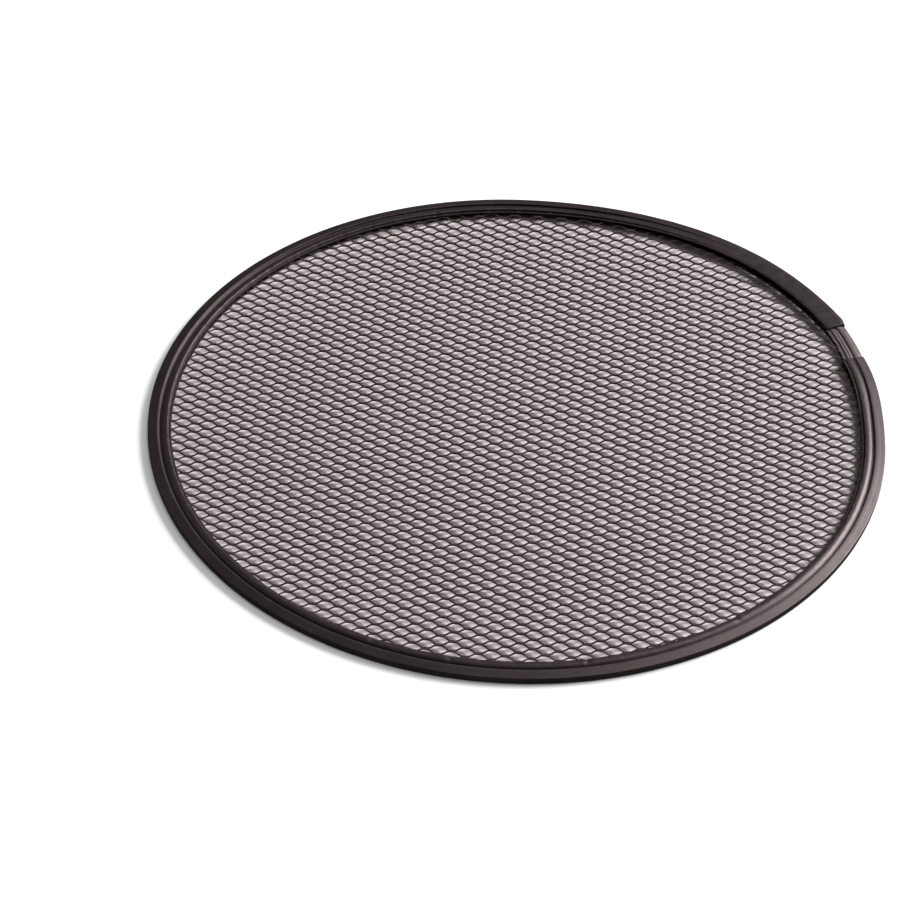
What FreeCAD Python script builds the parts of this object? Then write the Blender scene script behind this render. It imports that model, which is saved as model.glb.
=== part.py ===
import FreeCAD, Part
import itertools
import math
import os

import Sketcher

# Round grate for a fire pit: a disc of diamond-pattern expanded metal whose edge is trapped in a
# beaded channel hoop. The hoop is one folded strip. Its two ends don't meet: a short splice of the
# same beaded section bridges them, and the hoop's plain, opened-out mouth slides over the splice.
#
# Units are millimetres. The grate lies flat in XY with its underside at Z = 0 and its axis on Z.
# Angles are measured anticlockwise from +X, seen from above.

SIZES = {
    # hoop
    "rim_radius": 178.0,
    "rim_width": 11.3,
    "rim_height": 4.4,
    "rim_sheet": 0.6,
    # shape of one leaf of the channel: insets from the rim radius, rises from the middle plane
    "nose_rise": 0.7,
    "shoulder_inset": 0.7,
    "shoulder_rise": 1.45,
    "bead_start": 4.3,
    "bead_end": 4.9,
    "bead_rise": 2.2,
    "groove_start": 5.45,
    "groove_end": 6.1,
    "groove_rise": 1.37,
    "ridge_start": 8.1,
    "ridge_end": 9.6,
    "ridge_rise": 2.15,
    "lip_rise": 1.25,
    # the tail: the beaded end that closes over the splice
    "tail_angle": 19.6,
    "tail_shift": 2.8,
    "tail_groove_rise": 1.75,
    "tail_lip_rise": 1.75,
    # the mouth: the plain end that is opened out over the splice
    "mouth_angle": 27.7,
    "mouth_full_angle": 42.0,
    "mouth_blend_angle": 90.0,
    "mouth_shift": 6.1,
    "mouth_rise": 2.18,
    # splice
    "splice_start_angle": 12.0,
    "splice_end_angle": 33.0,
    "splice_drift_per_degree": 0.2,
    "splice_sheet": 0.45,
    "splice_clearance": 0.03,
    "splice_width": 11.1,
    # expanded metal
    "mesh_radius": 174.6,
    "mesh_edge": 1.2,
    "mesh_thick": 1.3,
    "mesh_long_pitch": 12.06,
    "mesh_short_pitch": 6.21,
    "mesh_strand": 1.1,
    "mesh_angle": -3.3,
}

TAIL_SECTIONS = 4
MOUTH_SECTIONS = 6
PLAIN_SECTIONS = 3
SPLICE_TAIL_SECTIONS = 3
SPLICE_MOUTH_SECTIONS = 4
BLOCK_OPENINGS = 6

# an opening cut by the edge is left out when what remains is under this part of a quarter opening
SLIVER_PART = 0.05

# where the inside of a bend lies, in sheet thicknesses from its outside
NOSE_DROP = 0.25
SHOULDER_SHIFT = 0.6
SHOULDER_DROP = 0.75

doc = FreeCAD.newDocument("grate")
dims = doc.addObject("Spreadsheet::Sheet", "Dims")


def fill_sheet():
    """Put every driving size in the sheet as a plain number with an alias."""
    for row, (name, number) in enumerate(SIZES.items(), start=1):
        dims.set(f"A{row}", name)
        dims.set(f"B{row}", str(number))
        dims.setAlias(f"B{row}", name)
    doc.recompute()


def size(name):
    return float(dims.get(name))


# A length is a sum of sizes, held as {alias: factor}, so that it gives both a number and a formula.


def number(terms):
    return sum(factor * size(name) for name, factor in terms.items())


def formula(terms):
    return " + ".join(f"{factor:.6f} * Dims.{name}" for name, factor in terms.items())


def blend(first, second, weight):
    return {first: 1.0 - weight, second: weight}


def plus(terms, name, factor):
    return {**terms, name: terms.get(name, 0.0) + factor}


def smooth(low, high, at):
    """0 at low, 1 at high, level at both ends."""
    t = min(max((at - low) / (high - low), 0.0), 1.0)
    return t * t * (3.0 - 2.0 * t)


def spread(low, high, count):
    return [low + (high - low) * step / (count - 1) for step in range(count)]


def leaf_surface(groove, ridge, lip):
    """The hoop's outer surface from the nose to the lip, as (inset, rise) pairs."""
    return [
        ({}, {"nose_rise": 1.0}),
        ({"shoulder_inset": 1.0}, {"shoulder_rise": 1.0}),
        ({"bead_start": 1.0}, {"bead_rise": 1.0}),
        ({"bead_end": 1.0}, {"bead_rise": 1.0}),
        ({"groove_start": 1.0}, groove),
        ({"groove_end": 1.0}, groove),
        ({"ridge_start": 1.0}, ridge),
        ({"ridge_end": 1.0}, ridge),
        ({"rim_width": 1.0}, lip),
    ]


def inward(surface, sheet):
    """The same surface moved into the channel by a thickness: level at the nose, else downwards."""
    nose, shoulder, *rest = surface
    moved = [
        (plus(nose[0], sheet, 1.0), plus(nose[1], sheet, -NOSE_DROP)),
        (plus(shoulder[0], sheet, SHOULDER_SHIFT), plus(shoulder[1], sheet, -SHOULDER_DROP)),
    ]
    return moved + [(inset, plus(rise, sheet, -1.0)) for inset, rise in rest]


def channel_outline(outside, inside, shift):
    """Closed outline of the folded channel as (x, y) pairs; y is measured from the middle plane."""
    upper = outside + inside[::-1]
    lower = [(inset, {name: -factor for name, factor in rise.items()}) for inset, rise in upper]
    corners = []
    for inset, rise in upper + lower[::-1]:
        x = {"rim_radius": 1.0, **shift}
        for name, factor in inset.items():
            x = plus(x, name, -factor)
        corners.append((x, rise))
    return corners


def radial_sketch(body, name, angle, corners):
    """A sketch on the radial half-plane at an angle, its corners bound to the sheet."""
    sketch = body.newObject("Sketcher::SketchObject", name)
    plane = next(f for f in body.Origin.OriginFeatures if f.Role == "XZ_Plane")
    sketch.AttachmentSupport = [(plane, "")]
    sketch.MapMode = "FlatFace"
    turn = FreeCAD.Rotation(FreeCAD.Vector(0, 1, 0), angle)
    sketch.AttachmentOffset = FreeCAD.Placement(FreeCAD.Vector(0, size("rim_height") / 2, 0), turn)
    sketch.setExpression("AttachmentOffset.Base.y", "Dims.rim_height / 2")
    points = [FreeCAD.Vector(number(x), number(y), 0) for x, y in corners]
    count = len(points)
    sides = [Part.LineSegment(points[i], points[(i + 1) % count]) for i in range(count)]
    sketch.addGeometry(sides, False)
    joins = [Sketcher.Constraint("Coincident", i, 2, (i + 1) % count, 1) for i in range(count)]
    sketch.addConstraint(joins)
    places = []
    for i, (x, y) in enumerate(corners):
        places.append(Sketcher.Constraint("DistanceX", -1, 1, i, 1, number(x)))
        places.append(Sketcher.Constraint("DistanceY", -1, 1, i, 1, number(y)))
    sketch.addConstraint(places)
    for i, (x, y) in enumerate(corners):
        sketch.setExpression(f"Constraints[{count + 2 * i}]", formula(x))
        sketch.setExpression(f"Constraints[{count + 2 * i + 1}]", formula(y))
    return sketch


def loft(body, name, sketches):
    feature = body.newObject("PartDesign::AdditiveLoft", name)
    feature.Profile = sketches[0]
    feature.Sections = sketches[1:]
    for sketch in sketches:
        sketch.Visibility = False
    return feature


def beaded_corners(weight=0.0):
    """The hoop's beaded section; weight 1 is its tail, lifted clear of the splice."""
    outside = leaf_surface(
        blend("groove_rise", "tail_groove_rise", weight),
        {"ridge_rise": 1.0},
        blend("lip_rise", "tail_lip_rise", weight),
    )
    inside = inward(outside, "rim_sheet")
    return channel_outline(outside, inside, {"tail_shift": weight})


def mouth_corners(weight):
    """From the beaded section at weight 0 to the plain, opened-out mouth at weight 1."""
    outside = leaf_surface(
        blend("groove_rise", "mouth_rise", weight),
        blend("ridge_rise", "mouth_rise", weight),
        blend("lip_rise", "mouth_rise", weight),
    )
    inside = inward(outside, "rim_sheet")
    return channel_outline(outside, inside, {"mouth_shift": weight})


def splice_corners(weight, drift):
    """The splice's section: it nests inside the hoop's tail, then drifts outwards to the mouth."""
    tail = leaf_surface({"tail_groove_rise": 1.0}, {"ridge_rise": 1.0}, {"tail_lip_rise": 1.0})
    nested = inward(inward(tail, "rim_sheet"), "splice_clearance")
    outside = nested[:-1] + [({"splice_width": 1.0}, nested[-1][1])]
    inside = inward(outside, "splice_sheet")
    shift = {"tail_shift": weight, "splice_drift_per_degree": drift}
    return channel_outline(outside, inside, shift)


def make_rim_hoop():
    body = doc.addObject("PartDesign::Body", "rim_hoop")
    body.Label = "rim_hoop"
    tail = size("tail_angle")
    blend_angle = size("mouth_blend_angle")

    start = radial_sketch(body, "hoop_section", blend_angle, beaded_corners())
    sweep = body.newObject("PartDesign::Revolution", "hoop_sweep")
    sweep.Profile = start
    sweep.ReferenceAxis = (start, ["V_Axis"])
    sweep.setExpression("Angle", "360 - Dims.mouth_blend_angle")
    start.Visibility = False
    doc.recompute()

    tail_sketches = []
    for i, angle in enumerate(spread(0.0, tail, TAIL_SECTIONS)):
        corners = beaded_corners(smooth(0.0, tail, angle))
        tail_sketches.append(radial_sketch(body, f"tail_section_{i}", angle, corners))
    loft(body, "tail_loft", tail_sketches)
    doc.recompute()

    full = size("mouth_full_angle")
    mouth_sketches = []
    for i, angle in enumerate(spread(blend_angle, full, MOUTH_SECTIONS)):
        corners = mouth_corners(smooth(blend_angle, full, angle))
        mouth_sketches.append(radial_sketch(body, f"mouth_section_{i}", angle, corners))
    for i, angle in enumerate(spread(full, size("mouth_angle"), PLAIN_SECTIONS)[1:]):
        mouth_sketches.append(radial_sketch(body, f"mouth_plain_{i}", angle, mouth_corners(1.0)))
    loft(body, "mouth_loft", mouth_sketches)
    doc.recompute()
    body.Tip = doc.getObject("mouth_loft")
    return body


def make_splice():
    body = doc.addObject("PartDesign::Body", "splice_insert")
    body.Label = "splice_insert"
    tail = size("tail_angle")
    nested = spread(size("splice_start_angle"), tail, SPLICE_TAIL_SECTIONS)
    exposed = spread(tail, size("splice_end_angle"), SPLICE_MOUTH_SECTIONS)[1:]
    sketches = []
    for i, angle in enumerate(nested + exposed):
        weight = smooth(0.0, tail, angle)
        drift = max(angle - tail, 0.0)
        corners = splice_corners(weight, drift)
        sketches.append(radial_sketch(body, f"splice_section_{i}", angle, corners))
    loft(body, "splice_loft", sketches)
    doc.recompute()
    return body


class DiamondPattern:
    """The slit-and-stretched pattern: where its openings are and which way its strands run."""

    def __init__(self):
        self.radius = size("mesh_radius")
        self.open_radius = self.radius - size("mesh_edge")
        long_pitch = size("mesh_long_pitch")
        short_pitch = size("mesh_short_pitch")
        turn = math.radians(size("mesh_angle"))
        along = FreeCAD.Vector(math.cos(turn), math.sin(turn), 0)
        across = FreeCAD.Vector(-along.y, along.x, 0)
        self.up_strand = (along * long_pitch + across * short_pitch) / 2
        self.down_strand = (along * long_pitch - across * short_pitch) / 2
        between_strands = long_pitch * short_pitch / math.hypot(long_pitch, short_pitch)
        opened = 1.0 - size("mesh_strand") / between_strands
        self.half_long = along * (long_pitch / 2 * opened)
        self.half_short = across * (short_pitch / 2 * opened)
        self.smallest_area = SLIVER_PART * self.half_long.Length * self.half_short.Length
        self.open_disc = Part.Face(Part.Wire(Part.makeCircle(self.open_radius)))

    def centre(self, i, j):
        return self.up_strand * i + self.down_strand * j

    def opening(self, i, j):
        """Outline of one opening as a list of wires: cut to the open disc, or empty beyond it."""
        middle = self.centre(i, j)
        if middle.Length - self.half_long.Length > self.open_radius:
            return []
        arms = [self.half_long, self.half_short, -self.half_long, -self.half_short]
        corners = [middle + arm for arm in arms]
        outline = Part.makePolygon(corners + corners[:1])
        if max(corner.Length for corner in corners) < self.open_radius:
            return [outline]
        kept = Part.Face(outline).common(self.open_disc).Faces
        return [face.OuterWire for face in kept if face.Area > self.smallest_area]

    def block_face(self, i, j, disc):
        """The disc's faces within one block of openings, bounded by strand centre lines."""
        low = self.centre(i - 0.5, j - 0.5)
        side_a = self.up_strand * BLOCK_OPENINGS
        side_b = self.down_strand * BLOCK_OPENINGS
        corners = [low, low + side_a, low + side_a + side_b, low + side_b]
        return Part.Face(Part.makePolygon(corners + corners[:1])).common(disc).Faces


def make_mesh_panel():
    """Expanded metal disc: a closed skin of top, underside, opening walls and outer edge.

    The flat faces are divided along strand centre lines into blocks, so that none holds
    thousands of openings.
    """
    pattern = DiamondPattern()
    disc = Part.Face(Part.Wire(Part.makeCircle(pattern.radius)))
    blocks_each_way = math.ceil(pattern.radius / pattern.half_short.Length / BLOCK_OPENINGS / 2) + 1
    steps = range(-blocks_each_way * BLOCK_OPENINGS, blocks_each_way * BLOCK_OPENINGS, BLOCK_OPENINGS)
    within = range(BLOCK_OPENINGS)
    flats = []
    openings = []
    for i, j in itertools.product(steps, steps):
        faces = pattern.block_face(i, j, disc)
        if not faces:
            continue
        wires = []
        for k, n in itertools.product(within, within):
            wires += pattern.opening(i + k, j + n)
        holes = Part.Compound([Part.Face(wire) for wire in wires])
        for face in faces:
            flats += face.cut(holes).Faces if wires else [face]
        openings += wires

    rise = FreeCAD.Vector(0, 0, size("mesh_thick"))
    skin = flats + [face.translated(rise) for face in flats]
    for wire in openings:
        skin += wire.extrude(rise).Faces
    for face in flats:
        outer_arcs = [edge for edge in face.OuterWire.Edges if edge.Curve.TypeId == "Part::GeomCircle"]
        skin += [arc.extrude(rise) for arc in outer_arcs]
    shell = Part.makeShell(skin)
    shell.sewShape()

    panel = doc.addObject("Part::Feature", "mesh_panel")
    panel.Label = "mesh_panel"
    panel.Shape = Part.Solid(shell)
    lift = (size("rim_height") - size("mesh_thick")) / 2
    panel.Placement = FreeCAD.Placement(FreeCAD.Vector(0, 0, lift), FreeCAD.Rotation())
    return panel


def check(parts):
    for item in doc.Objects:
        if "Invalid" in item.State or "Error" in item.State:
            raise RuntimeError(f"{item.Name} failed: {item.State}")
    for part in parts:
        shape = part.Shape
        if shape.isNull() or not shape.isValid() or len(shape.Solids) != 1:
            raise RuntimeError(f"{part.Label} is not one valid solid")
        box = shape.BoundBox
        print(f"{part.Label}: {shape.Volume:.0f} mm3, {len(shape.Faces)} faces, "
              f"x {box.XMin:.2f} {box.XMax:.2f} y {box.YMin:.2f} {box.YMax:.2f} "
              f"z {box.ZMin:.2f} {box.ZMax:.2f}")


def export(parts):
    os.makedirs("parts", exist_ok=True)
    for part in parts:
        part.Shape.exportStep(f"parts/{part.Label}.step")


fill_sheet()
pieces = [make_rim_hoop(), make_splice(), make_mesh_panel()]
doc.recompute()
check(pieces)
export(pieces)
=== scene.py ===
import math

import bmesh
import bpy
import numpy as np
from mathutils import Matrix, Vector


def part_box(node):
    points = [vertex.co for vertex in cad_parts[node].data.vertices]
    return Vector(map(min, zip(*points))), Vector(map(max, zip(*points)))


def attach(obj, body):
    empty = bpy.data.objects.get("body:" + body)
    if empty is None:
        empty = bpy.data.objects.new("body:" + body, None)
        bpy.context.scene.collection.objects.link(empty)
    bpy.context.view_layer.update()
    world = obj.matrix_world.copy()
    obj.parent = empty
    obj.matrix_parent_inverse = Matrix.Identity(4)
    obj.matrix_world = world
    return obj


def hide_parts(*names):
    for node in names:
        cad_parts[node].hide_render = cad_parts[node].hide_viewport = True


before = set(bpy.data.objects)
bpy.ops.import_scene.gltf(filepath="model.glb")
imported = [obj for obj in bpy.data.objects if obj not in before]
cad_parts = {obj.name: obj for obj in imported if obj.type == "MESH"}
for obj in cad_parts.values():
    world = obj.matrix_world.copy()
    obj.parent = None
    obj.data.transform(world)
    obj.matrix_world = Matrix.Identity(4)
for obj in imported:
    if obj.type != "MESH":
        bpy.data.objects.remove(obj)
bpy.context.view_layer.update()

# Looks of a round expanded-metal grate: twisted strands joined at their bonds, a hoop folded from
# one strip with two rolled beads, and the short splice between its ends. Lengths are in metres, and
# angles are in degrees except where math.radians makes them.

MM = 0.001

hoop_low, hoop_high = (np.array(corner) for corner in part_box("rim_hoop"))
mesh_low, mesh_high = (np.array(corner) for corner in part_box("mesh_panel"))
RIM_RADIUS = float(hoop_high[1] - hoop_low[1]) / 2
MIDDLE = float(hoop_low[2] + hoop_high[2]) / 2
MESH_RADIUS = float(mesh_high[0] - mesh_low[0]) / 2

# sheets
SHEET = 0.6 * MM
SPLICE_SHEET = 0.45 * MM

# the joint in the hoop, as in the CAD model: angles anticlockwise from +X
TAIL_ANGLE = 19.6
TAIL_SHIFT = 2.8 * MM
MOUTH_ANGLE = 27.7
MOUTH_FULL_ANGLE = 42.0
MOUTH_BLEND_ANGLE = 90.0
MOUTH_SHIFT = 6.1 * MM
SPLICE_ANGLES = (12.0, 33.0)

# the joint only in the looks: the mouth's clipped corner, and a splice that stands out level with
# the hoop's ends. Its drift, for each degree past the tail, is a little more than the CAD model's.
MOUTH_CHAMFER = 1.0 * MM
MOUTH_CHAMFER_ANGLE = 1.2
SPLICE_DRIFT = 0.25 * MM
SPLICE_PROUD = 0.55 * MM
PROUD_AFTER_TAIL = 0.8
PROUD_BEFORE_MOUTH = 0.6


# ---------------------------------------------------------------- small helpers


def smooth(low, high, at):
    """0 at low, 1 at high, level at both ends."""
    t = np.clip((at - low) / (high - low), 0.0, 1.0)
    return t * t * (3.0 - 2.0 * t)


def catmull_rom(points, per_span):
    """A smooth line through the points, per_span samples to each span."""
    points = np.asarray(points, float)
    padded = np.vstack([2 * points[0] - points[1], points, 2 * points[-1] - points[-2]])
    t = np.arange(per_span)[:, None] / per_span
    line = []
    for a, b, c, d in zip(padded, padded[1:], padded[2:], padded[3:]):
        line.append(0.5 * (2 * b + (c - a) * t + (2 * a - 5 * b + 4 * c - d) * t**2
                           + (3 * b - a - 3 * c + d) * t**3))
    return np.vstack([*line, points[-1:]])


def ripple(angle, waves, seed):
    """Smooth seeded noise at an angle round the rim, about -1 to 1: sines of the given wave counts."""
    rng = np.random.default_rng(seed)
    total = 0.0
    for count in waves:
        total += np.sin(np.radians(angle) * count + rng.uniform(0, 2 * math.pi)) * rng.uniform(0.5, 1.0)
    return total / math.sqrt(len(waves))


def new_object(name, vertices, faces, material, sharp_angle):
    mesh = bpy.data.meshes.new(name)
    mesh.from_pydata(vertices, [], faces)
    mesh.validate()
    piece = bpy.data.objects.new(name, mesh)
    bpy.context.scene.collection.objects.link(piece)
    mesh.materials.append(material)
    shade(mesh, sharp_angle)
    return piece


def shade(mesh, sharp_angle):
    mesh.shade_smooth()
    mesh.set_sharp_from_angle(angle=math.radians(sharp_angle))


def weld(piece, distance):
    """Join vertices that lie together, and turn every face outwards."""
    work = bmesh.new()
    work.from_mesh(piece.data)
    bmesh.ops.remove_doubles(work, verts=work.verts, dist=distance)
    bmesh.ops.recalc_face_normals(work, faces=work.faces)
    work.to_mesh(piece.data)
    work.free()


def vertex_places(piece):
    places = np.empty(len(piece.data.vertices) * 3)
    piece.data.vertices.foreach_get("co", places)
    return places.reshape(-1, 3)


def set_wear_and_sheen(piece, values):
    """How worn each vertex is, 0 to 1, for the coat's material; on the hoop's crests and the strands'
    tops this layer is also a painted highlight.
    """
    layer = piece.data.attributes.new("wear_and_sheen", "FLOAT", "POINT")
    layer.data.foreach_set("value", np.asarray(values, dtype=np.float32))


# ---------------------------------------------------------------- materials

COAT_TINT = (1.0, 0.80, 0.80)
# rolled streaks: how fine they are, and how far each is drawn out round the hoop
STREAK_SCALE = 2200.0
STREAK_DRAW = 0.006
# how much rougher the coat is in its specks
SPECK_ROUGHNESS = 0.06


class Nodes:
    """A short way to write a material's node tree. Noise scales are in waves for each metre."""

    def __init__(self, name):
        self.material = bpy.data.materials.new(name)
        self.material.use_nodes = True
        self.tree = self.material.node_tree
        self.shader = next(n for n in self.tree.nodes if n.type == "BSDF_PRINCIPLED")

    def add(self, kind, **settings):
        node = self.tree.nodes.new(kind)
        for name, value in settings.items():
            setattr(node, name, value)
        return node

    def link(self, source, target):
        self.tree.links.new(source, target)

    def noise(self, scale, detail, roughness=0.5):
        node = self.add("ShaderNodeTexNoise")
        node.inputs["Scale"].default_value = scale
        node.inputs["Detail"].default_value = detail
        node.inputs["Roughness"].default_value = roughness
        place = self.add("ShaderNodeTexCoord")
        self.link(place.outputs["Object"], node.inputs["Vector"])
        return node.outputs["Fac"]

    def ramp(self, factor, low, high, from_min, from_max):
        node = self.add("ShaderNodeMapRange")
        node.inputs["From Min"].default_value = from_min
        node.inputs["From Max"].default_value = from_max
        node.inputs["To Min"].default_value = low
        node.inputs["To Max"].default_value = high
        self.link(factor, node.inputs["Value"])
        return node.outputs["Result"]

    def mix(self, factor, first, second):
        """Blend two colours, each a tuple or another node's output."""
        node = self.add("ShaderNodeMix", data_type="RGBA")
        for slot, colour in (("A", first), ("B", second)):
            socket = next(s for s in node.inputs if s.name == slot and s.type == "RGBA")
            if isinstance(colour, tuple):
                socket.default_value = (*colour, 1.0)
            else:
                self.link(colour, socket)
        amount = next(s for s in node.inputs if s.name == "Factor" and s.type == "VALUE")
        self.link(factor, amount)
        return next(s for s in node.outputs if s.name == "Result" and s.type == "RGBA")

    def math(self, operation, first, second):
        node = self.add("ShaderNodeMath", operation=operation)
        for socket, value in zip(node.inputs, (first, second)):
            if isinstance(value, float):
                socket.default_value = value
            else:
                self.link(value, socket)
        return node.outputs[0]

    def bump(self, height, distance, strength, below=None):
        node = self.add("ShaderNodeBump")
        node.inputs["Strength"].default_value = strength
        node.inputs["Distance"].default_value = distance
        self.link(height, node.inputs["Height"])
        if below is not None:
            self.link(below, node.inputs["Normal"])
        return node.outputs["Normal"]


def rolled_streaks(n):
    """Fine lines that run round the hoop, as a roller leaves them: narrow across, long along."""
    place = n.add("ShaderNodeTexCoord")
    split = n.add("ShaderNodeSeparateXYZ")
    n.link(place.outputs["Object"], split.inputs[0])
    x, y = split.outputs["X"], split.outputs["Y"]
    radius = n.math("SQRT", n.math("ADD", n.math("MULTIPLY", x, x), n.math("MULTIPLY", y, y)), 0.0)
    around = n.add("ShaderNodeCombineXYZ")
    n.link(radius, around.inputs["X"])
    n.link(n.math("MULTIPLY", n.math("ARCTAN2", y, x), STREAK_DRAW), around.inputs["Y"])
    lines = n.add("ShaderNodeTexNoise")
    lines.inputs["Scale"].default_value = STREAK_SCALE
    lines.inputs["Detail"].default_value = 3.0
    n.link(around.outputs[0], lines.inputs["Vector"])
    return lines.outputs["Fac"]


def hard_coat(name, dark, light, worn_and_lit, roughness, streaks):
    """Dark hard coat on metal: uneven tone, fine grain, lighter where the wear layer is high; that layer
    is partly real wear and partly a painted highlight on crests and strand tops.
    """
    n = Nodes(name)
    shader = n.shader
    shader.inputs["Specular Tint"].default_value = (*COAT_TINT, 1.0)

    cloud = n.ramp(n.noise(scale=38.0, detail=4.0), low=0.0, high=1.0, from_min=0.35, from_max=0.68)
    wear_and_sheen = n.add("ShaderNodeAttribute", attribute_name="wear_and_sheen").outputs["Fac"]
    scuff_noise = n.noise(scale=420.0, detail=5.0, roughness=0.65)
    scuff = n.ramp(scuff_noise, low=0.2, high=1.0, from_min=0.4, from_max=0.65)
    # the wear layer pulls the coat towards the light worn colour: real wear, and also a painted highlight
    # on the hoop's crests and the strands' tops
    worn_through_and_lit = n.math("MULTIPLY", wear_and_sheen, scuff)
    n.link(n.mix(worn_through_and_lit, n.mix(cloud, dark, light), worn_and_lit), shader.inputs["Base Color"])

    speck_noise = n.noise(scale=900.0, detail=3.0, roughness=0.6)
    speck = n.ramp(speck_noise, low=0.0, high=1.0, from_min=0.45, from_max=0.75)
    smooth_low, smooth_high = roughness
    polish = n.ramp(n.noise(scale=160.0, detail=4.0), smooth_low, smooth_high, from_min=0.3, from_max=0.7)
    speckled = n.math("ADD", polish, n.math("MULTIPLY", speck, SPECK_ROUGHNESS))
    n.link(speckled, shader.inputs["Roughness"])

    grain = n.noise(scale=2600.0, detail=4.0, roughness=0.6)
    relief = n.bump(grain, distance=0.04 * MM, strength=0.6)
    relief = n.bump(n.noise(scale=240.0, detail=3.0), distance=0.10 * MM, strength=0.5, below=relief)
    if streaks:
        relief = n.bump(rolled_streaks(n), distance=0.06 * MM, strength=streaks, below=relief)
    n.link(relief, shader.inputs["Normal"])
    return n.material


def floor_material(name, colour):
    n = Nodes(name)
    n.shader.inputs["Base Color"].default_value = (*colour, 1.0)
    n.shader.inputs["Roughness"].default_value = 0.9
    n.shader.inputs["Specular IOR Level"].default_value = 0.1
    return n.material


# ---------------------------------------------------------------- expanded metal

# the pattern: pitches, its turn, and where its first strand starts along and across the rows
LONG_PITCH = 12.04 * MM
SHORT_PITCH = 6.18 * MM
MESH_ANGLE = math.radians(-3.3)
MESH_SHIFT = (2.8 * MM, 0.15 * MM)

# how far the stretching has pulled the pattern out of true, in metres for each square metre
ROW_BOW = 0.10
ROW_SHEAR = 0.09
COLUMN_BOW = 0.01

# the sheet's middle hangs by the sag, which fades out between its two radii; between the pinch radii
# the leaves close on the sheet, and it keeps only that part of its height
SAG = 0.25 * MM
SAG_RADII = (115 * MM, 160 * MM)
PINCH = 0.5
PINCH_RADII = (160 * MM, 165 * MM)

# a strand: its section, and the length of a bond, where it touches the next strand
STRAND_WIDTH = 1.12 * MM
STRAND_THICK = 0.78 * MM
STRAND_TILT = math.radians(-25.0)
STRAND_CHAMFER = 0.16 * MM
BOND = 2.6 * MM
BOND_WELD = 2e-6

# sections along a free span, as parts of it, and how far its path is eased into the bonds
SPAN_STEPS = (0.0, 0.14, 0.32, 0.5, 0.68, 0.86, 1.0)
SPAN_EASE = 0.45

# corners of a strand's section, and the sides of it that a bond hides; side i follows corner i
CORNERS = 8
UPPER_BOND_SIDES = (0, 1, 2)
LOWER_BOND_SIDES = (4, 5, 6)
BONDED_LIFT = 0.9999

STRAND_SHARP_ANGLE = 30.0
# wear, with a painted sheen on the strands' tops, starts and is full at these heights over the sheet's
# middle, and never passes the last value
STRAND_WEAR_AND_SHEEN_HEIGHTS = (0.25 * MM, 0.6 * MM)
STRAND_WEAR_AND_SHEEN = 0.5


def strand_columns(phase, reach):
    """Where a strand's sections lie along it, and its lift there: 1 at an upper bond, -1 at a lower."""
    half = LONG_PITCH / 2
    places, lifts = [], []
    first = math.floor((-reach - phase) / half) - 1
    last = math.ceil((reach - phase) / half) + 1
    for index in range(first, last):
        start = phase + index * half + BOND / 2
        span = half - BOND
        sign = 1.0 if index % 2 == 0 else -1.0
        for t in SPAN_STEPS:
            eased = (1 - SPAN_EASE) * t + SPAN_EASE * t * t * (3 - 2 * t)
            places.append(start + span * t)
            lifts.append(sign * (1.0 - 2.0 * eased))
    places, lifts = np.array(places), np.array(lifts)
    inside = np.abs(places) < reach
    ends = np.array([-reach, reach])
    end_lifts = np.interp(ends, places, lifts)
    kept_places = np.concatenate([places[inside], ends])
    kept_lifts = np.concatenate([lifts[inside], end_lifts])
    order = np.argsort(kept_places, kind="stable")
    return kept_places[order], kept_lifts[order]


def strand_section(upper_cut, lower_cut):
    """Corners of the strand's section; a cut of 0 leaves that side square, to meet its bond."""
    w, t = STRAND_WIDTH / 2, STRAND_THICK / 2
    return [(w - upper_cut, t), (w, t - upper_cut), (w, upper_cut - t), (w - upper_cut, -t),
            (lower_cut - w, -t), (-w, lower_cut - t), (-w, t - lower_cut), (lower_cut - w, t)]


def strand(row, reach, first_vertex):
    """One row's strand, before the pattern is bent and turned: its vertices and faces."""
    swing = SHORT_PITCH / 4 - STRAND_WIDTH * math.cos(STRAND_TILT) / 2
    rise = STRAND_WIDTH * math.sin(STRAND_TILT) / 2
    tilt = np.array([[math.cos(STRAND_TILT), -math.sin(STRAND_TILT)],
                     [math.sin(STRAND_TILT), math.cos(STRAND_TILT)]])
    phase = MESH_SHIFT[0] + (0.0 if row % 2 == 0 else LONG_PITCH / 2)
    places, lifts = strand_columns(phase, reach)
    at_upper = lifts > BONDED_LIFT
    at_lower = lifts < -BONDED_LIFT

    vertices = []
    for place, lift, upper, lower in zip(places, lifts, at_upper, at_lower):
        section = strand_section(0.0 if upper else STRAND_CHAMFER, 0.0 if lower else STRAND_CHAMFER)
        tilted = np.array(section) @ tilt.T
        tilted += (row * SHORT_PITCH / 2 + swing * lift, -rise * lift)
        vertices.append(np.column_stack([np.full(CORNERS, place), tilted]))

    faces = []
    for column in range(len(places) - 1):
        a = first_vertex + column * CORNERS
        upper_bond = at_upper[column] and at_upper[column + 1]
        lower_bond = at_lower[column] and at_lower[column + 1]
        for side in range(CORNERS):
            if (upper_bond and side in UPPER_BOND_SIDES) or (lower_bond and side in LOWER_BOND_SIDES):
                continue
            b = (side + 1) % CORNERS
            faces.append((a + side, a + b, a + CORNERS + b, a + CORNERS + side))
    end = first_vertex + CORNERS * len(places)
    faces.append(tuple(range(first_vertex, first_vertex + CORNERS))[::-1])
    faces.append(tuple(range(end - CORNERS, end)))
    return vertices, faces


def sag_at(radius):
    return SAG * (1.0 - smooth(*SAG_RADII, radius))


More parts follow.
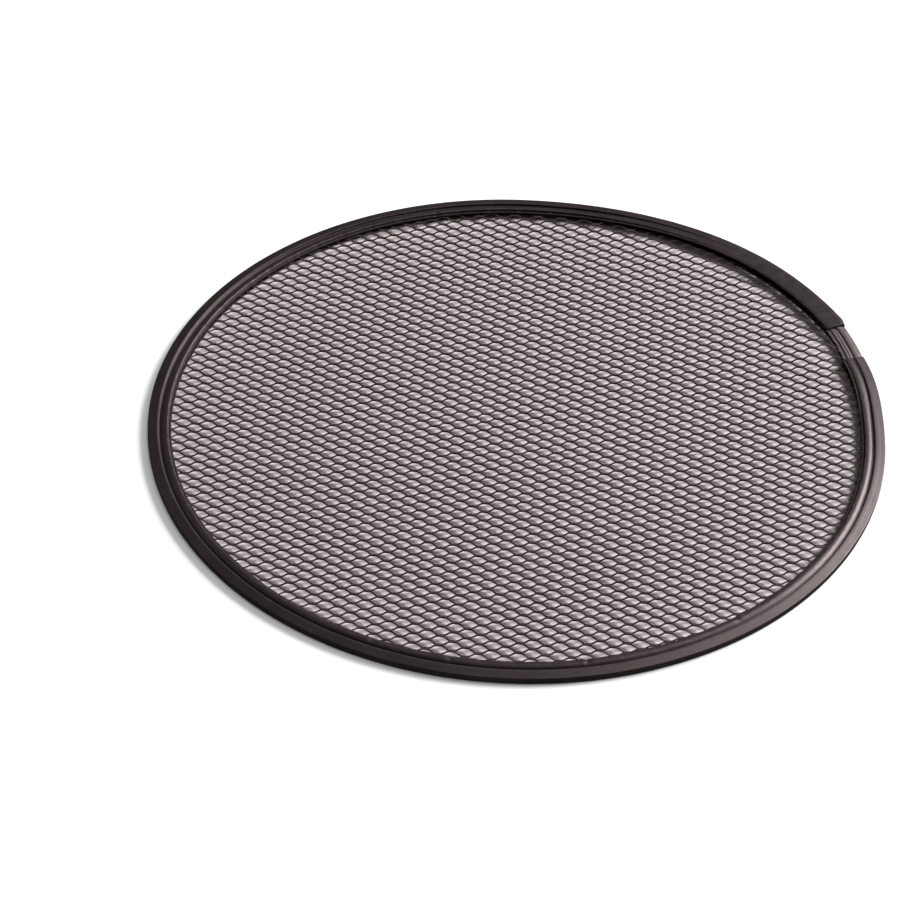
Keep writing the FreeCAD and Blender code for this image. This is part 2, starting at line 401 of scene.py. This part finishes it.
def bend_and_turn(points):
    """Bow the rows, pinch and sag the sheet, and turn it to its angle in the hoop."""
    along, across = points[:, 0].copy(), points[:, 1].copy()
    points[:, 0] += COLUMN_BOW * along**2
    points[:, 1] += MESH_SHIFT[1] + ROW_BOW * along**2 + ROW_SHEAR * along * across
    radius = np.hypot(points[:, 0], points[:, 1])
    points[:, 2] *= 1.0 - (1.0 - PINCH) * smooth(*PINCH_RADII, radius)
    points[:, 2] -= sag_at(radius)
    turned = points.copy()
    turned[:, 0] = points[:, 0] * math.cos(MESH_ANGLE) - points[:, 1] * math.sin(MESH_ANGLE)
    turned[:, 1] = points[:, 0] * math.sin(MESH_ANGLE) + points[:, 1] * math.cos(MESH_ANGLE)
    turned[:, 2] += MIDDLE
    return turned


def expanded_metal(material):
    """The whole sheet: one strand to each half short pitch, welded to its neighbours at the bonds."""
    vertices, faces = [], []
    rows = int(MESH_RADIUS / (SHORT_PITCH / 2))
    for row in range(-rows, rows + 1):
        across = row * SHORT_PITCH / 2
        reach_squared = MESH_RADIUS**2 - (abs(across) + SHORT_PITCH / 2) ** 2
        if reach_squared < LONG_PITCH**2:
            continue
        first_vertex = CORNERS * len(vertices)
        row_vertices, row_faces = strand(row, math.sqrt(reach_squared), first_vertex)
        vertices += row_vertices
        faces += row_faces
    points = bend_and_turn(np.vstack(vertices))
    piece = new_object("expanded_mesh", points.tolist(), faces, material, STRAND_SHARP_ANGLE)
    weld(piece, BOND_WELD)
    shade(piece.data, STRAND_SHARP_ANGLE)
    places = vertex_places(piece)
    # the strands' tops are made lighter: real wear, and a painted sheen where the light falls from above
    height = places[:, 2] - MIDDLE + sag_at(np.hypot(places[:, 0], places[:, 1]))
    set_wear_and_sheen(piece, smooth(*STRAND_WEAR_AND_SHEEN_HEIGHTS, height) * STRAND_WEAR_AND_SHEEN)
    return piece


# ---------------------------------------------------------------- hoop and splice

# One leaf's outer surface from the nose to the lip, in millimetres: inset from the rim's radius,
# rise above the middle plane. A beaded leaf has two asymmetric beads with a tight groove between.
BEADED = [(0.0, 0.0), (0.01, 0.55), (0.04, 0.95), (0.12, 1.22), (0.6, 1.36), (2.0, 1.66), (3.2, 1.95),
          (4.6, 2.2), (5.05, 2.08), (5.25, 1.5), (5.45, 1.15), (6.1, 1.12), (6.4, 1.5), (7.2, 1.93),
          (8.2, 2.19), (9.2, 2.2), (9.7, 2.1), (9.95, 1.7), (10.2, 1.2), (10.35, 1.12), (11.3, 1.06)]
# the tail is lifted clear of the splice from the groove inwards
TAIL_CLEAR_INSET = 5.2
TAIL_CLEAR_RISE = 1.75
TAIL_LIFTED = [rise if inset < TAIL_CLEAR_INSET else max(rise, TAIL_CLEAR_RISE) for inset, rise in BEADED]
# the mouth's rises, at the beaded leaf's insets
PLAIN = [0.0, 0.4, 0.9, 1.45, 1.85, 2.12, 2.16, 2.17, 2.18, 2.18, 2.19, 2.2, 2.2, 2.2, 2.2, 2.19, 2.18,
         2.16, 2.12, 2.1, 1.95]
# the splice's leaf, measured like the hoop's: it lies just inside the hoop's tail
SPLICE = [(0.63, 0.0), (0.65, 0.25), (0.75, 0.5), (1.0, 0.62), (1.6, 0.82), (2.6, 1.08), (3.8, 1.25),
          (4.8, 1.12), (5.1, 0.9), (5.4, 0.68), (5.7, 0.72), (6.1, 1.05), (6.9, 1.2), (7.4, 1.12),
          (7.8, 1.14), (8.3, 1.34), (8.9, 1.32), (9.2, 1.0), (9.7, 0.92), (10.3, 0.9), (11.1, 0.9)]
LEAF_SPAN_STEPS = 4
RIM_WIDTH = 11.3 * MM
LEAF_TOP = 2.2 * MM
INNER_FLOOR = 0.3 * MM

# the lower leaf's nose: where it ends, how tight its corner is, and its share of the leaf's height
NOSE_REACH = 4.6 * MM
NOSE_CORNER = 0.1 * MM
NOSE_DEPTH = 0.96

# steps round the hoop in degrees, and the splice's number of sections
HOOP_STEP = 0.3
SPLICE_SECTIONS = 90
CHANNEL_WELD = 1e-7
CHANNEL_SHARP_ANGLE = 50.0

# unevenness round the hoop: wave counts for each turn, and seeds
COARSE_WAVES = ((83, 131, 197, 263), 3)
FINE_WAVES = ((311, 433, 577), 4)
MOUTH_WAVES = ((120, 170, 233), 5)
SPLICE_WAVES = ((97, 173, 251, 401), 8)

# where along a leaf the unevenness grows, as insets, and how far it goes there, in millimetres
BEAD_INSETS = (6.0 * MM, 8.6 * MM)
BEAD_COARSE = 0.05
BEAD_FINE = 0.03
LIP_INSETS = (7.5 * MM, 10.8 * MM)
LIP_COARSE = 0.10
LIP_FINE = 0.07
MOUTH_INSETS = (0.0, 3.0 * MM)
MOUTH_UNEVEN = 0.035

# crimps pressed into the inner bead: angles, depth in millimetres and half-width in degrees
CRIMPS = (106.0, 139.5, 143.5, 153.0, 158.5, 170.0, 249.0, 261.5, 282.5, 308.0)
CRIMP_DEPTH = 0.28
CRIMP_ANGLE = 0.45

# the hoop's two crests are worn and also carry painted highlight lines, lighter whatever the light; the
# mouth has lost most of those
CREST_INSETS = (4.9 * MM, 9.6 * MM)
CREST_WIDTH = 0.3 * MM
CREST_WEAR_AND_HIGHLIGHT = 0.5
MOUTH_UNWORN_UNHIGHLIGHTED = 0.7

# the splice's ragged lip, in millimetres: how far it moves, how much it is cut back, how far it rises
SPLICE_LIP_INSETS = (7.0 * MM, 10.5 * MM)
SPLICE_RAGGED = 0.3
SPLICE_CUT_BACK = 0.5
SPLICE_LIP_RISE = 0.08
# the splice's wear: all over, and what its outer bead has more
SPLICE_WEAR = 0.25
SPLICE_BEAD_WEAR = 0.6
SPLICE_BEAD_INSETS = (5.0 * MM, 5.6 * MM)


def leaf_line(rises):
    insets = [inset for inset, _ in BEADED]
    return catmull_rom(np.column_stack([insets, rises]) * MM, LEAF_SPAN_STEPS)


BEADED_LINE = leaf_line([rise for _, rise in BEADED])
TAIL_LINE = leaf_line(TAIL_LIFTED)
PLAIN_LINE = leaf_line(PLAIN)
SPLICE_LINE = catmull_rom(np.array(SPLICE) * MM, LEAF_SPAN_STEPS)


def inner_line(outer, thick):
    """The leaf's inner surface: the outer one moved along its normal by the sheet's thickness."""
    along = np.gradient(outer, axis=0)
    along /= np.linalg.norm(along, axis=1)[:, None]
    normal = np.column_stack([along[:, 1], -along[:, 0]])
    moved = outer + normal * thick
    # never lower than the floor, or than half the outer surface's height where that is less
    moved[:, 1] = np.maximum(moved[:, 1], np.minimum(INNER_FLOOR, outer[:, 1] * 0.5))
    moved[0] = outer[0] + (thick, 0.0)
    return moved


def squared_nose(outer):
    """The lower leaf's outer line, as rises: its nose comes down squarely to the ground."""
    inset = outer[:, 0]
    corner = LEAF_TOP * (1.0 - np.exp(-(inset - inset[0]) / NOSE_CORNER)) * NOSE_DEPTH
    deepened = np.maximum(outer[:, 1], np.minimum(corner, outer[:, 1].max()))
    square = outer.copy()
    square[:, 1] = np.where(inset < NOSE_REACH, deepened, outer[:, 1])
    return square


def swept_channel(name, angles, section_at, material):
    """A folded channel: at each angle, section_at gives its outer and inner lines, shift and wear layer,
    which on the hoop's crests is also a painted highlight.
    """
    rings, wear_and_sheen = [], []
    for angle in angles:
        outer, inner, shift, worn_and_lit = section_at(angle)
        upper = np.vstack([outer, inner[::-1]])
        lower = np.vstack([squared_nose(outer), inner[::-1]])
        loop = np.vstack([upper, lower[::-1] * (1, -1)])
        # The last point repeats the first, at the nose, except in the hoop's first four sections,
        # where the clipped corner takes up the mouth's ripple. Those keep it, and the faces below
        # still take every ring to be as long as the first.
        loop = loop[:-1] if np.allclose(loop[0], loop[-1]) else loop
        radius = RIM_RADIUS + shift - loop[:, 0]
        turn = math.radians(angle)
        rings.append(np.column_stack([radius * math.cos(turn), radius * math.sin(turn),
                                      MIDDLE + loop[:, 1]]))
        upper_wear_and_sheen = np.concatenate([worn_and_lit, np.zeros(len(inner))])
        wear_and_sheen.append(np.concatenate([upper_wear_and_sheen, upper_wear_and_sheen[::-1]])[:len(loop)])
    size = len(rings[0])
    faces = []
    for ring_index in range(len(rings) - 1):
        a = ring_index * size
        for i in range(size):
            j = (i + 1) % size
            faces.append((a + i, a + size + i, a + size + j, a + j))
    faces += end_cap(0, size, len(outer), False)
    faces += end_cap((len(rings) - 1) * size, size, len(outer), True)
    piece = new_object(name, np.vstack(rings).tolist(), faces, material, CHANNEL_SHARP_ANGLE)
    set_wear_and_sheen(piece, np.concatenate(wear_and_sheen))
    weld(piece, CHANNEL_WELD)
    return piece


def end_cap(start, size, leaf, flip):
    """Quads across the sheet's thickness at a cut end, for both leaves."""
    caps = []
    for i in range(leaf - 1):
        inner = 2 * leaf - 1 - i
        upper = (start + i, start + i + 1, start + inner - 1, start + inner)
        lower = tuple(start + (size - 1 - (v - start)) % size for v in upper)[::-1]
        caps += [upper[::-1], lower[::-1]] if flip else [upper, lower]
    return caps


def joint_state(angle):
    """How far the section at an angle is towards the tail (0 to 1) and towards the mouth (0 to 1)."""
    tail = smooth(360.0, 360.0 + TAIL_ANGLE, angle)
    mouth = 1.0 - smooth(MOUTH_FULL_ANGLE, MOUTH_BLEND_ANGLE, angle)
    return float(tail), float(mouth)


def crimp_at(angle):
    """1 at each crimp, falling away on both sides."""
    return sum(math.exp(-(((angle - at + 180) % 360 - 180) / CRIMP_ANGLE) ** 2) for at in CRIMPS)


def hoop_section(angle):
    """The hoop's beaded leaf, blended into the tail at one end and into the plain mouth at the other."""
    tail, mouth = joint_state(angle)
    outer = BEADED_LINE * (1 - tail - mouth) + TAIL_LINE * tail + PLAIN_LINE * mouth
    cut = MOUTH_CHAMFER * (1 - smooth(MOUTH_ANGLE, MOUTH_ANGLE + MOUTH_CHAMFER_ANGLE, angle))
    outer[:, 0] = cut + outer[:, 0] * (1 - cut / RIM_WIDTH)

    near_lip = smooth(*LIP_INSETS, outer[:, 0])
    on_inner_bead = smooth(*BEAD_INSETS, outer[:, 0]) * (1.0 - mouth)
    coarse = ripple(angle, *COARSE_WAVES)
    fine = ripple(angle, *FINE_WAVES)
    dents = BEAD_COARSE * coarse + BEAD_FINE * fine - CRIMP_DEPTH * crimp_at(angle)
    outer[:, 1] += on_inner_bead * dents * MM
    outer[:, 0] += near_lip * (LIP_COARSE * coarse + LIP_FINE * fine) * MM
    past_nose = smooth(*MOUTH_INSETS, outer[:, 0])
    outer[:, 1] += mouth * MOUTH_UNEVEN * MM * ripple(angle, *MOUTH_WAVES) * past_nose
    outer[:, 1] = np.minimum(outer[:, 1], LEAF_TOP)

    shift = TAIL_SHIFT * tail + MOUTH_SHIFT * mouth
    # painted highlight lines, with real wear, along the two crests
    worn_and_lit = sum(CREST_WEAR_AND_HIGHLIGHT * np.exp(-((outer[:, 0] - at) / CREST_WIDTH) ** 2) for at in CREST_INSETS)
    return outer, inner_line(outer, SHEET), shift, np.clip(worn_and_lit * (1 - MOUTH_UNWORN_UNHIGHLIGHTED * mouth), 0, 1)


def splice_section(angle):
    """The splice nests inside both hoop ends and stands out level with them between the ends."""
    out_of_tail = smooth(TAIL_ANGLE, TAIL_ANGLE + PROUD_AFTER_TAIL, angle)
    out_of_mouth = 1 - smooth(MOUTH_ANGLE - PROUD_BEFORE_MOUTH, MOUTH_ANGLE, angle)
    shift = TAIL_SHIFT * float(smooth(0.0, TAIL_ANGLE, angle))
    shift += SPLICE_DRIFT * max(angle - TAIL_ANGLE, 0.0)
    shift += SPLICE_PROUD * float(out_of_tail * out_of_mouth)

    outer = SPLICE_LINE.copy()
    inset = SPLICE_LINE[:, 0]
    ragged = ripple(angle, *SPLICE_WAVES)
    near_lip = smooth(*SPLICE_LIP_INSETS, inset)
    outer[:, 0] += near_lip * (SPLICE_RAGGED * ragged - SPLICE_CUT_BACK) * MM
    outer[:, 1] += near_lip * SPLICE_LIP_RISE * ragged * MM
    worn_and_lit = SPLICE_WEAR + SPLICE_BEAD_WEAR * (1 - smooth(*SPLICE_BEAD_INSETS, inset))
    return outer, inner_line(outer, SPLICE_SHEET), shift, worn_and_lit


# ---------------------------------------------------------------- studio

CAMERA_ELEVATION = math.radians(40.35)
CAMERA_DISTANCE = 9.646 * RIM_RADIUS
CAMERA_ROLL = math.radians(1.64)
CAMERA_LENS = 141.93
CAMERA_SENSOR = 36.0
CAMERA_AIM = Vector((-0.1757 * RIM_RADIUS, -0.1271 * RIM_RADIUS, MIDDLE))

SKY_COLOUR = (1.0, 0.99, 0.99)
SKY_STRENGTH = 0.06

# lights: azimuth and elevation in degrees, distance and sizes in metres, power in watts
KEY = dict(azimuth=31.0, elevation=32.0, distance=5.5, width=3.8, height=2.6, power=620.0)
FILL = dict(azimuth=150.0, elevation=42.0, distance=5.5, width=2.5, height=2.5, power=10.0)
TOP = dict(azimuth=57.0, elevation=52.0, distance=5.5, width=1.0, height=3.0, power=72.0)
BACKDROP_WASH = dict(azimuth=0.0, elevation=90.0, distance=5.0, width=6.0, height=6.0, power=150.0)

# the floor: a pinkish disc that ends under the hoop, and white around it
UNDER_GRATE_RADIUS = 172 * MM
FLOOR_RADIUS = 9.0
UNDER_GRATE_COLOUR = (0.91, 0.815, 0.81)
FLOOR_COLOUR = (0.88, 0.88, 0.88)
FLOOR_STEP = 3
FLOOR_SHARP_ANGLE = 40.0


def direction(azimuth, elevation):
    """Unit vector towards an azimuth (anticlockwise from +X) and an elevation, in degrees."""
    a, e = math.radians(azimuth), math.radians(elevation)
    return Vector((math.cos(e) * math.cos(a), math.cos(e) * math.sin(a), math.sin(e)))


def make_camera():
    data = bpy.data.cameras.new("camera")
    data.lens = CAMERA_LENS
    data.sensor_width = CAMERA_SENSOR
    camera = bpy.data.objects.new("camera", data)
    bpy.context.scene.collection.objects.link(camera)
    centre = Vector((0.0, 0.0, MIDDLE))
    towards = Vector((0, -math.cos(CAMERA_ELEVATION), math.sin(CAMERA_ELEVATION)))
    place = centre + CAMERA_DISTANCE * towards
    forward = (CAMERA_AIM - place).normalized()
    right = forward.cross(Vector((0, 0, 1))).normalized()
    up = right.cross(forward)
    c, s = math.cos(CAMERA_ROLL), math.sin(CAMERA_ROLL)
    turn = Matrix((right * c + up * s, up * c - right * s, -forward)).transposed()
    camera.matrix_world = Matrix.Translation(place) @ turn.to_4x4()
    bpy.context.scene.camera = camera


def area_light(name, azimuth, elevation, distance, width, height, power):
    """A rectangular light that faces the origin."""
    data = bpy.data.lights.new(name, "AREA")
    data.shape = "RECTANGLE"
    data.size = width
    data.size_y = height
    data.energy = power
    lamp = bpy.data.objects.new(name, data)
    towards = direction(azimuth, elevation)
    lamp.location = towards * distance
    lamp.rotation_euler = towards.to_track_quat("Z", "Y").to_euler()
    bpy.context.scene.collection.objects.link(lamp)
    return lamp


def light_only(lamp, pieces):
    receivers = bpy.data.collections.new(lamp.name + "_receivers")
    for piece in pieces:
        receivers.objects.link(piece)
    lamp.light_linking.receiver_collection = receivers


def circle_on_floor():
    turns = np.radians(np.arange(0, 360, FLOOR_STEP))
    return np.column_stack([np.cos(turns), np.sin(turns), np.zeros_like(turns)])


def floor_disc(name, radius, material):
    circle = circle_on_floor()
    face = tuple(range(len(circle)))
    return new_object(name, (circle * radius).tolist(), [face], material, FLOOR_SHARP_ANGLE)


def floor_ring(name, inner, outer, material):
    circle = circle_on_floor()
    count = len(circle)
    vertices = np.vstack([circle * inner, circle * outer]).tolist()
    faces = [(i, count + i, count + (i + 1) % count, (i + 1) % count) for i in range(count)]
    return new_object(name, vertices, faces, material, FLOOR_SHARP_ANGLE)


def make_floor():
    """Both pieces of floor; reflections leave them out, so that the coat stays dark."""
    paper = floor_material("floor_paper", UNDER_GRATE_COLOUR)
    white = floor_material("floor_white", FLOOR_COLOUR)
    under = floor_disc("floor_under_grate", UNDER_GRATE_RADIUS, paper)
    around = floor_ring("floor", UNDER_GRATE_RADIUS, FLOOR_RADIUS, white)
    for piece in (under, around):
        piece.visible_glossy = False
    return around


def make_sky():
    world = bpy.data.worlds.new("studio")
    bpy.context.scene.world = world
    world.use_nodes = True
    sky = world.node_tree.nodes["Background"]
    sky.inputs["Color"].default_value = (*SKY_COLOUR, 1.0)
    sky.inputs["Strength"].default_value = SKY_STRENGTH


# ---------------------------------------------------------------- build

make_camera()
make_sky()
area_light("key", **KEY)
area_light("fill", **FILL)
top_light = area_light("top", **TOP)
wash = area_light("backdrop_wash", **BACKDROP_WASH)
light_only(wash, [make_floor()])
bpy.context.scene.view_settings.view_transform = "Standard"

rim_coat = hard_coat("rim_hard_coat", dark=(0.014, 0.0098, 0.0095), light=(0.021, 0.0148, 0.0145),
                     worn_and_lit=(0.09, 0.070, 0.070), roughness=(0.33, 0.41), streaks=0.8)
mesh_coat = hard_coat("mesh_hard_coat", dark=(0.032, 0.020, 0.0195), light=(0.044, 0.029, 0.028),
                      worn_and_lit=(0.09, 0.07, 0.07), roughness=(0.42, 0.52), streaks=0.0)
splice_coat = hard_coat("splice_thin_coat", dark=(0.034, 0.0265, 0.0265), light=(0.053, 0.042, 0.042),
                        worn_and_lit=(0.13, 0.105, 0.105), roughness=(0.42, 0.52), streaks=0.5)

mesh_piece = expanded_metal(mesh_coat)
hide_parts("mesh_panel")
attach(mesh_piece, "root")

# the small margin takes in the last angle
hoop_angles = np.arange(MOUTH_ANGLE, 360.0 + TAIL_ANGLE + 1e-6, HOOP_STEP)
hoop_angles[-1] = 360.0 + TAIL_ANGLE
hoop_piece = swept_channel("beaded_hoop", hoop_angles, hoop_section, rim_coat)
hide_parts("rim_hoop")
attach(hoop_piece, "root")

splice_angles = np.linspace(*SPLICE_ANGLES, SPLICE_SECTIONS)
splice_piece = swept_channel("joint_splice", splice_angles, splice_section, splice_coat)
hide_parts("splice_insert")
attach(splice_piece, "root")

light_only(top_light, [hoop_piece, splice_piece])
